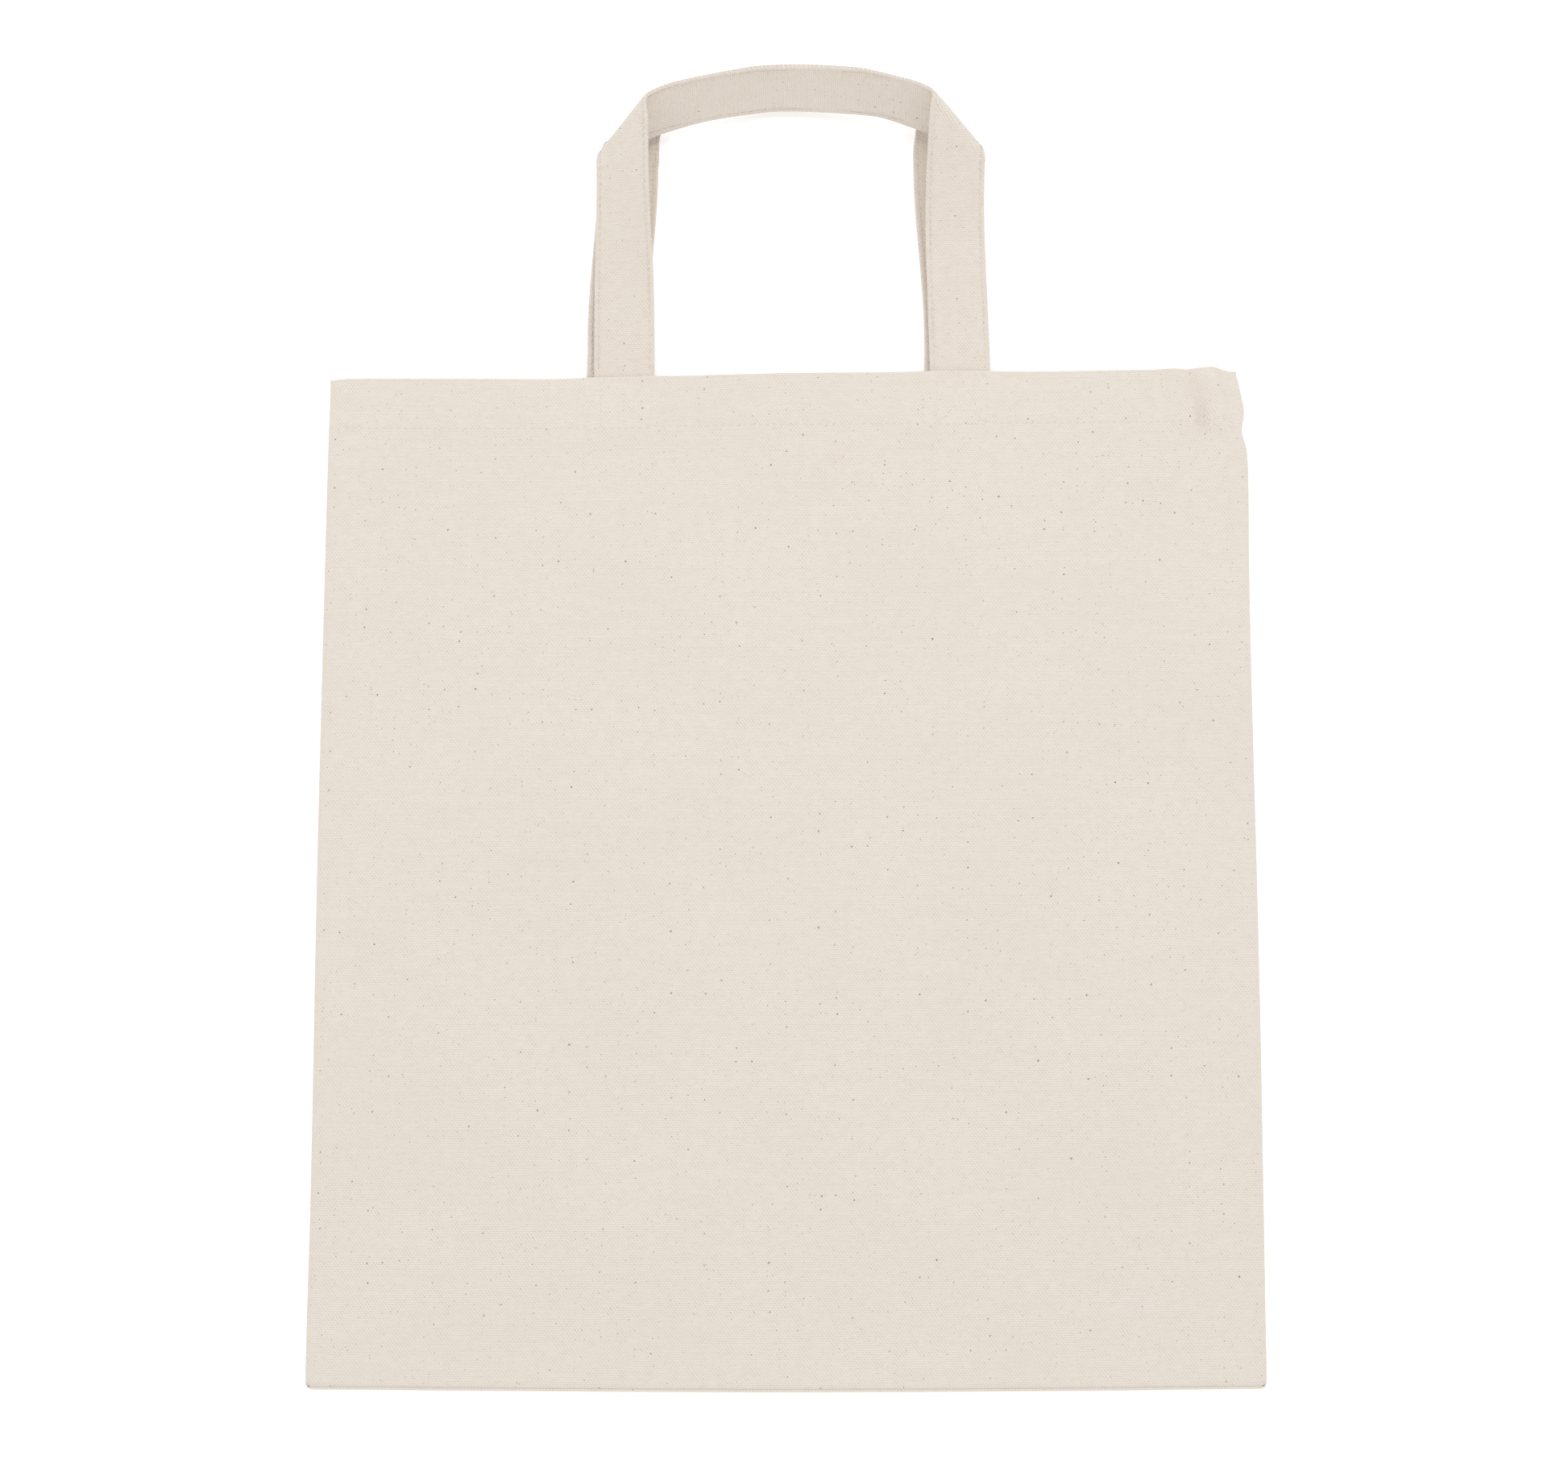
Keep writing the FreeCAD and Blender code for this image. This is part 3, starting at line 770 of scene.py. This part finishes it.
def strap_shapes():
    """The front strap, which the camera sees, and the back strap, nested behind it."""
    end_z = (END_LOW[2] + END_HIGH[2]) / 2
    back_end_z = (BACK_END_LOW[2] + BACK_END_HIGH[2]) / 2
    ground_z = STRAP_THICKNESS / 2 + 0.3
    pitch, roll = 61.8, 1.1    # degrees that the crown stands up from the floor, and tilts
    tall = STRAP_WIDTH * math.sin(math.radians(pitch)) + STRAP_THICKNESS * math.cos(math.radians(pitch))
    centre = np.array([5.0, MOUTH_Y + 122.0, CROWN_LIFT + tall / 2])
    towards_mouth = (0, -1, 0)

    def front_leg(sign, x):
        inwards = (-sign, 0, 0)
        return [((x, MOUTH_Y, end_z), towards_mouth, inwards),
                ((x, STRAP_END_Y, end_z), towards_mouth, inwards)]

    def back_leg(sign, x, top_x):
        inwards = (-sign, 0, 0)
        return [((top_x, MOUTH_Y + 92, ground_z), towards_mouth, inwards),
                ((x, MOUTH_Y + 18, ground_z), towards_mouth, inwards),
                ((x, MOUTH_Y, back_end_z), towards_mouth, inwards),
                ((x, STRAP_END_Y, back_end_z), towards_mouth, inwards)]

    front = Strap(centre, pitch, roll,
                  {-1: Fold(76.2, 44.1, 109, 25.0, 6.0), 1: Fold(70.4, 45.5, 126, 27.2, 6.0)},
                  {sign: front_leg(sign, x) for sign, x in FRONT_LEG_X.items()})
    back = Strap(centre + [0, 1.5, -2.4], pitch, roll,
                 {-1: Fold(68.6, 48.0, -174, 25.0, 4.4), 1: Fold(61.4, 45, -174, 27.2, 4.4)},
                 {-1: back_leg(-1, -STRAP_X, -66.0), 1: back_leg(1, STRAP_X, 66.0)})
    return front, back


def swing_with_handle(piece):
    """Bakes the piece's placement into its mesh."""
    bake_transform(piece)


def build_handles(front, back):
    pieces = []
    for face, strap in (("front", front), ("back", back)):
        piece = build_strap(f"{face}_handle_strap", strap)
        swing_with_handle(piece)
        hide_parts(f"{face}_handle", f"{face}_left_strap_end", f"{face}_right_strap_end")
        pieces.append(piece)
    return pieces


# ------------ stitches

# A stitch's rings: (place along it, share of the radius, lift in radii).
STITCH_RINGS = [(-1.0, 0.35, -1.0), (-0.86, 0.8, -0.35), (-0.5, 1.0, 0.3), (0.0, 1.0, 0.45),
                (0.5, 1.0, 0.3), (0.86, 0.8, -0.35), (1.0, 0.35, -1.0)]
STITCH_SIDES = 7


def stitches_on_flat(centres, directions, length=STITCH_LENGTH, radius=THREAD_RADIUS, level=0.0):
    """Grains of thread on a flat cut. Returns points (u, v, lift) and faces.

    Both ends of a stitch dip into the cloth.
    """
    centres, directions = np.asarray(centres, float), np.asarray(directions, float)
    across = np.stack([-directions[:, 1], directions[:, 0]], -1)
    angle = 2 * math.pi * np.arange(STITCH_SIDES) / STITCH_SIDES
    points = []
    for place, swell, lift in STITCH_RINGS:
        middle = centres + directions * place * length / 2
        for a in angle:
            plan = middle + across * radius * swell * math.cos(a)
            height = np.full(len(centres), level + radius * (lift + swell * math.sin(a)))
            points.append(np.concatenate([plan, height[:, None]], 1))
    points = np.stack(points, 1)
    one = tube_faces(len(STITCH_RINGS), STITCH_SIDES)
    size = len(STITCH_RINGS) * STITCH_SIDES
    faces = [[i + size * k for i in f] for k in range(len(centres)) for f in one]
    return points.reshape(-1, 3), faces


def row_of_stitches(start, end, seed=0):
    """Centres and directions of the stitches on a straight line of a flat cut."""
    start, direction, length = straight(start, end)
    count = max(1, int(round(length / STITCH_PITCH)))
    random = np.random.default_rng(seed)
    place = (np.arange(count) + 0.5) * length / count
    centres = start + direction * place[:, None]
    across = np.array([-direction[1], direction[0]])
    centres = centres + across * random.normal(0, 0.06, count)[:, None]
    turn = random.normal(0, 0.035, count)
    directions = direction * np.cos(turn)[:, None] + across * np.sin(turn)[:, None]
    return centres, directions


def stack_rows(rows):
    return np.concatenate([r[0] for r in rows]), np.concatenate([r[1] for r in rows])


def box_rows(centre_x, seed):
    """The box and the cross inside it, on a panel's flat cut."""
    half = (BOX_HIGH[0] - BOX_LOW[0]) / 2 - THREAD_RADIUS
    low, high = BOX_LOW[1] + THREAD_RADIUS, BOX_HIGH[1] - THREAD_RADIUS
    left, right = centre_x - half, centre_x + half
    corners = [(left, low), (right, low), (right, high), (left, high)]
    lines = list(zip(corners, corners[1:] + corners[:1]))
    lines += [(corners[0], corners[2]), (corners[1], corners[3])]
    return [row_of_stitches(a, b, seed + i) for i, (a, b) in enumerate(lines)]


BACK_TACK = (-184.0, -176.0)   # from x to x


def hem_row(left, right, seed, beside=0.0):
    y = HEM_STITCH_Y + beside
    return row_of_stitches((left, y), (right, y), seed)


def make_stitches(name, rows, place, level=-0.13):
    centres, directions = stack_rows(rows)
    points, faces = stitches_on_flat(centres, directions, level=level)
    return make_piece(name, place(*points.T), faces, points[:, :2])


def build_stitches(front, back):
    pieces = []
    back_box_x = {-1: -STRAP_X, 1: STRAP_X}
    for face, place, box_x in (("front", front_point, FRONT_BOX_X), ("back", back_point, back_box_x)):
        for sign, side, seed in ((-1, "left", 7), (1, "right", 107)):
            rows = box_rows(box_x[sign], seed)
            piece = make_stitches(f"{face}_{side}_box_stitches", rows, place)
            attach(piece, f"{face}_side")
            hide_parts(f"{face}_{side}_box_stitch")
            pieces.append(piece)
    gap = STRAP_X + STRAP_WIDTH / 2 - 1
    inner = STRAP_X - STRAP_WIDTH / 2 + 1
    outer = HALF_WIDTH - 3
    for sign, side in ((-1, "left"), (1, "right")):
        rows = [hem_row(0, sign * inner, 31), hem_row(sign * gap, sign * outer, 37)]
        if side == "left":   # the hem's seam starts here, with a few rows sewn back and forth
            rows += [hem_row(*BACK_TACK, 61, beside) for beside in (-0.9, 0.8, 1.6)]
        piece = make_stitches(f"front_hem_{side}_stitches", rows, front_point)
        join_sides(piece, ["front_hem_stitch"])
        pieces.append(piece)
    rows = [hem_row(-inner, inner, 41)]
    rows += [hem_row(sign * gap, sign * outer, 43 + sign) for sign in (-1, 1)]
    piece = make_stitches("back_hem_stitches", rows, back_point)
    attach(piece, "back_side")
    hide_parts("back_hem_stitch")
    pieces.append(piece)

    line = STRAP_WIDTH / 2 - EDGE_STITCH_INSET
    for face, strap in (("front", front), ("back", back)):
        left, right = -strap.reach[-1] + EDGE_STITCH_END, strap.reach[1] - EDGE_STITCH_END
        rows = [row_of_stitches((left, v), (right, v), 51) for v in (-line, line)]
        centres, directions = stack_rows(rows)
        parts, faces = [], []
        for flip in (1, -1):
            points, more = stitches_on_flat(centres, directions)
            height = flip * (STRAP_THICKNESS / 2 - 0.1 + points[:, 2])
            faces += [[i + len(points) * (flip < 0) for i in (f if flip > 0 else f[::-1])] for f in more]
            parts.append(np.stack([points[:, 0], points[:, 1], height], -1))
        points = np.concatenate(parts)
        placed = strap.place(*points.T)
        piece = make_piece(f"{face}_handle_stitches", placed, faces, points[:, :2])
        swing_with_handle(piece)
        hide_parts(f"{face}_handle_edge_stitch")
        pieces.append(piece)
    return pieces


# ------------ materials

class Nodes:
    """A small helper that adds and links shader nodes."""

    def __init__(self, name):
        self.material = bpy.data.materials.new(name)
        self.material.use_nodes = True
        self.tree = self.material.node_tree
        self.shader = self.tree.nodes["Principled BSDF"]

    def add(self, kind, **settings):
        node = self.tree.nodes.new("ShaderNode" + kind)
        for key, value in settings.items():
            setattr(node, key, value)
        return node

    def link(self, source, target):
        self.tree.links.new(source, target)

    def put(self, value, socket):
        """Links a socket or sets a plain value."""
        if isinstance(value, bpy.types.NodeSocket):
            self.link(value, socket)
        else:
            socket.default_value = value

    def math(self, operation, *values):
        node = self.add("Math", operation=operation)
        for value, socket in zip(values, node.inputs):
            self.put(value, socket)
        return node.outputs[0]

    def weighted(self, total, *parts):
        """The total plus each part's value times its weight."""
        for value, weight in parts:
            total = self.math("MULTIPLY_ADD", value, weight, total)
        return total

    def mix(self, share, first, second, blend="MIX"):
        node = self.add("Mix", data_type="RGBA", blend_type=blend)
        self.put(share, node.inputs["Factor"])
        self.put(first, node.inputs[6])
        self.put(second, node.inputs[7])
        return node.outputs[2]

    def noise(self, vector, scale, detail=2.0, roughness=0.5):
        node = self.add("TexNoise")
        self.link(vector, node.inputs["Vector"])
        node.inputs["Scale"].default_value = scale
        node.inputs["Detail"].default_value = detail
        node.inputs["Roughness"].default_value = roughness
        return node.outputs["Fac"]

    def ramp(self, value, low, high, to_low=0.0, to_high=1.0):
        node = self.add("MapRange", interpolation_type="SMOOTHSTEP")
        self.put(value, node.inputs["Value"])
        for key, number in (("From Min", low), ("From Max", high), ("To Min", to_low), ("To Max", to_high)):
            node.inputs[key].default_value = number
        return node.outputs["Result"]

    def scaled(self, vector, x, y):
        node = self.add("Mapping")
        self.link(vector, node.inputs["Vector"])
        node.inputs["Scale"].default_value = (x, y, 1)
        return node.outputs["Vector"]

    def shaken(self, flat, base, scale, reach):
        """Base moved about by noise at a flat place, by up to reach."""
        node = self.add("TexNoise", noise_dimensions="2D")
        self.link(flat, node.inputs["Vector"])
        node.inputs["Scale"].default_value = scale
        moved = self.add("VectorMath", operation="MULTIPLY_ADD")
        self.link(node.outputs["Color"], moved.inputs[0])
        moved.inputs[1].default_value = (reach, reach, 0)
        self.link(base, moved.inputs[2])
        return moved.outputs[0]

    def surface(self, **inputs):
        """Sets the shader's inputs, named with _ for a space."""
        for key, value in inputs.items():
            self.put(value, self.shader.inputs[key.replace("_", " ")])

    def bump(self, height, strength, distance):
        node = self.add("Bump")
        node.inputs["Strength"].default_value = strength
        node.inputs["Distance"].default_value = distance
        self.link(height, node.inputs["Height"])
        self.link(node.outputs["Normal"], self.shader.inputs["Normal"])


CANVAS = (0.797, 0.738, 0.684, 1)
# CANVAS_DARK serves darker yarn and grain, and the painted shade in the weave's pits.
CANVAS_DARK = (0.630, 0.552, 0.460, 1)
CANVAS_PALE = (0.830, 0.772, 0.700, 1)
CANVAS_STREAK = (0.690, 0.600, 0.490, 1)
CANVAS_CLOUD = (0.690, 0.615, 0.535, 1)
FLECK = (0.190, 0.130, 0.090, 1)
FLECKS = ((150, 0.24, 0.031), (300, 0.18, 0.030), (420, 0.12, 0.045))   # (scale, share, size)
STRAP_TINT = (0.992, 0.989, 0.982, 1)
STRAP_RELIEF = 1.4          # the straps' weave stands out more: a stronger bump, darker grain and more painted shade in its pits
THREAD = (0.765, 0.702, 0.640, 1)
THREAD_DARK = (0.640, 0.565, 0.480, 1)
THREAD_WARM = (0.670, 0.600, 0.520, 1)
WARP_PITCH = 0.68 * MM
WEFT_PITCH = 0.92 * MM


def canvas_material(name, tint=(1, 1, 1, 1), relief=1.0):
    """Natural canvas: a plain weave with heavier weft ribs, slubs, seed flecks and uneven tone, and painted
    shade in the weave's pits.
    """
    n = Nodes(name)
    flat = n.add("UVMap", uv_map="cloth").outputs["UV"]
    wander = n.shaken(flat, flat, 90, 0.35 * MM)
    places = n.add("SeparateXYZ")
    n.link(wander, places.inputs[0])
    x = n.math("DIVIDE", places.outputs["X"], WARP_PITCH)
    y = n.math("DIVIDE", places.outputs["Y"], WEFT_PITCH)
    rib = n.math("COSINE", n.math("MULTIPLY", y, 2 * math.pi))
    twist = n.math("SINE", n.math("MULTIPLY", n.math("ADD", x, y), math.pi))
    counter = n.math("SINE", n.math("MULTIPLY", n.math("SUBTRACT", x, y), math.pi))
    weft_slub = n.noise(n.scaled(flat, 0.25, 1.0), 1150, 2.0, 0.6)
    warp_slub = n.noise(n.scaled(flat, 1.0, 0.18), 1500, 2.0, 0.6)
    fuzz = n.noise(flat, 1700, 3.0, 0.7)
    patchy = n.ramp(n.noise(flat, 190, 2.0, 0.5), 0.30, 0.70, 0.10, 0.32)
    weave = n.weighted(0.5, (rib, 0.20), (twist, patchy), (counter, 0.10))
    height = n.weighted(weave, (weft_slub, 0.55), (warp_slub, 0.30), (fuzz, 0.25))

    # Painted shade: the weave's low places, its pits between the threads, are darkened below as if in shade.
    painted_pit_shade = n.ramp(weave, 0.62, 0.02)
    grain = n.weighted(0.0, (weft_slub, 0.35), (fuzz, 0.65))
    cloudy = n.noise(flat, 17, 3.0, 0.55)
    streak = n.noise(n.scaled(flat, 0.06, 1.0), 420, 2.0, 0.5)
    # painted shade in the weave's pits, mixed towards CANVAS_DARK
    colour = n.mix(n.math("MULTIPLY", painted_pit_shade, min(1.0, 0.85 * relief)), CANVAS, CANVAS_DARK)
    colour = n.mix(n.ramp(grain, 0.50, 0.30, 0, 0.60 * relief), colour, CANVAS_DARK)
    colour = n.mix(n.ramp(weft_slub, 0.46, 0.74, 0, 0.20), colour, CANVAS_PALE)
    colour = n.mix(n.ramp(warp_slub, 0.50, 0.24, 0, 0.16), colour, CANVAS_DARK)
    colour = n.mix(n.ramp(streak, 0.36, 0.70, 0, 0.10), colour, CANVAS_STREAK)
    colour = n.mix(n.ramp(cloudy, 0.34, 0.68, 0, 0.14), colour, CANVAS_CLOUD)
    colour = n.mix(1.0, colour, tint, "MULTIPLY")
    torn = n.shaken(flat, wander, 2600, 0.6 * MM)
    for scale, share, size in FLECKS:
        cells = n.add("TexVoronoi", voronoi_dimensions="2D", feature="F1")
        n.link(torn, cells.inputs["Vector"])
        cells.inputs["Scale"].default_value = scale
        chance = n.add("SeparateColor")
        n.link(cells.outputs["Color"], chance.inputs[0])
        chosen = n.math("LESS_THAN", chance.outputs["Red"], share)
        spot = n.weighted(size, (chance.outputs["Green"], size))
        near = n.math("LESS_THAN", cells.outputs["Distance"], spot)
        strength = n.weighted(0.15, (chance.outputs["Blue"], 0.65))
        colour = n.mix(n.math("MULTIPLY", n.math("MULTIPLY", chosen, near), strength), colour, FLECK)
    n.bump(height, 0.48 * relief, 0.12 * MM)
    n.surface(Base_Color=colour, Roughness=n.ramp(weave, 0.1, 1.0, 0.94, 0.82),
              Specular_IOR_Level=0.22, Sheen_Weight=0.12, Sheen_Roughness=0.6)
    return n.material


def thread_material():
    """Cotton thread of nearly the canvas's own colour."""
    n = Nodes("cotton_thread")
    flat = n.add("UVMap", uv_map="cloth").outputs["UV"]
    ply = n.noise(flat, 2600, 2.0, 0.6)
    tone = n.noise(flat, 60, 2.0, 0.5)
    colour = n.mix(n.ramp(ply, 0.3, 0.7, 0, 0.35), THREAD, THREAD_DARK)
    colour = n.mix(n.ramp(tone, 0.35, 0.7, 0, 0.2), colour, THREAD_WARM)
    n.bump(ply, 0.4, 0.06 * MM)
    n.surface(Base_Color=colour, Roughness=n.ramp(ply, 0.2, 0.8, 0.62, 0.80), Sheen_Weight=0.10)
    return n.material


def floor_material():
    n = Nodes("white_floor")
    place = n.add("NewGeometry").outputs["Position"]
    tone = n.noise(place, 3, 1.0, 0.5)
    n.surface(Base_Color=n.mix(tone, (0.93, 0.93, 0.93, 1), (0.95, 0.95, 0.95, 1)), Roughness=0.9,
              Specular_IOR_Level=0.1, Emission_Color=(1, 1, 1, 1), Emission_Strength=0.25)
    return n.material


def dress(pieces, material):
    for piece in pieces:
        piece.data.materials.clear()
        piece.data.materials.append(material)


# ------------ studio

def build_floor():
    size = 8.0
    corners = [(-size, -size, 0), (size, -size, 0), (size, size, 0), (-size, size, 0)]
    mesh = bpy.data.meshes.new("floor")
    mesh.from_pydata(corners, [], [(0, 1, 2, 3)])
    floor = add_object("floor", mesh)
    floor.location.z = -0.4 * MM
    mesh.materials.append(floor_material())


LAMPS = [("key", (0.1, 1.0, 1.8), 1.1, 9.0),
         ("front", (0.1, -2.3, 1.3), 1.8, 2.0)]   # (name, place and side in metres, watts)


def build_lights():
    world = bpy.data.worlds.new("studio")
    bpy.context.scene.world = world
    world.use_nodes = True
    background = world.node_tree.nodes["Background"]
    background.inputs["Color"].default_value = (1.0, 0.998, 0.992, 1)
    background.inputs["Strength"].default_value = 0.895
    for name, place, size, power in LAMPS:
        data = bpy.data.lights.new(name, "AREA")
        data.shape = "SQUARE"
        data.size = size
        data.energy = power
        lamp = add_object(name, data)
        lamp.location = place
        lamp.rotation_euler = (-Vector(place)).to_track_quat("-Z", "Y").to_euler()


def build_camera():
    """Looks down from the bag's bottom side, 77.7 degrees above the floor."""
    elevation = math.radians(77.7)
    distance = 1.778
    target = Vector((-0.0008, -0.00815, 0))
    data = bpy.data.cameras.new("camera")
    data.lens = 100
    data.sensor_width = 36
    camera = add_object("camera", data)
    back = Vector((0, -math.cos(elevation), math.sin(elevation)))
    camera.location = target + back * distance
    camera.rotation_euler = (-back).to_track_quat("-Z", "Y").to_euler()
    bpy.context.scene.camera = camera


# ------------ the scene

def main():
    front_strap, back_strap = strap_shapes()
    canvas = canvas_material("natural_canvas")
    strap_canvas = canvas_material("strap_canvas", STRAP_TINT, STRAP_RELIEF)
    seam_cloth, overlock = build_seams()
    dress(build_panels() + build_hems() + seam_cloth, canvas)
    dress(build_handles(front_strap, back_strap), strap_canvas)
    dress(build_stitches(front_strap, back_strap) + overlock, thread_material())
    build_floor()
    build_lights()
    build_camera()
    bpy.context.scene.view_settings.view_transform = "Standard"


main()
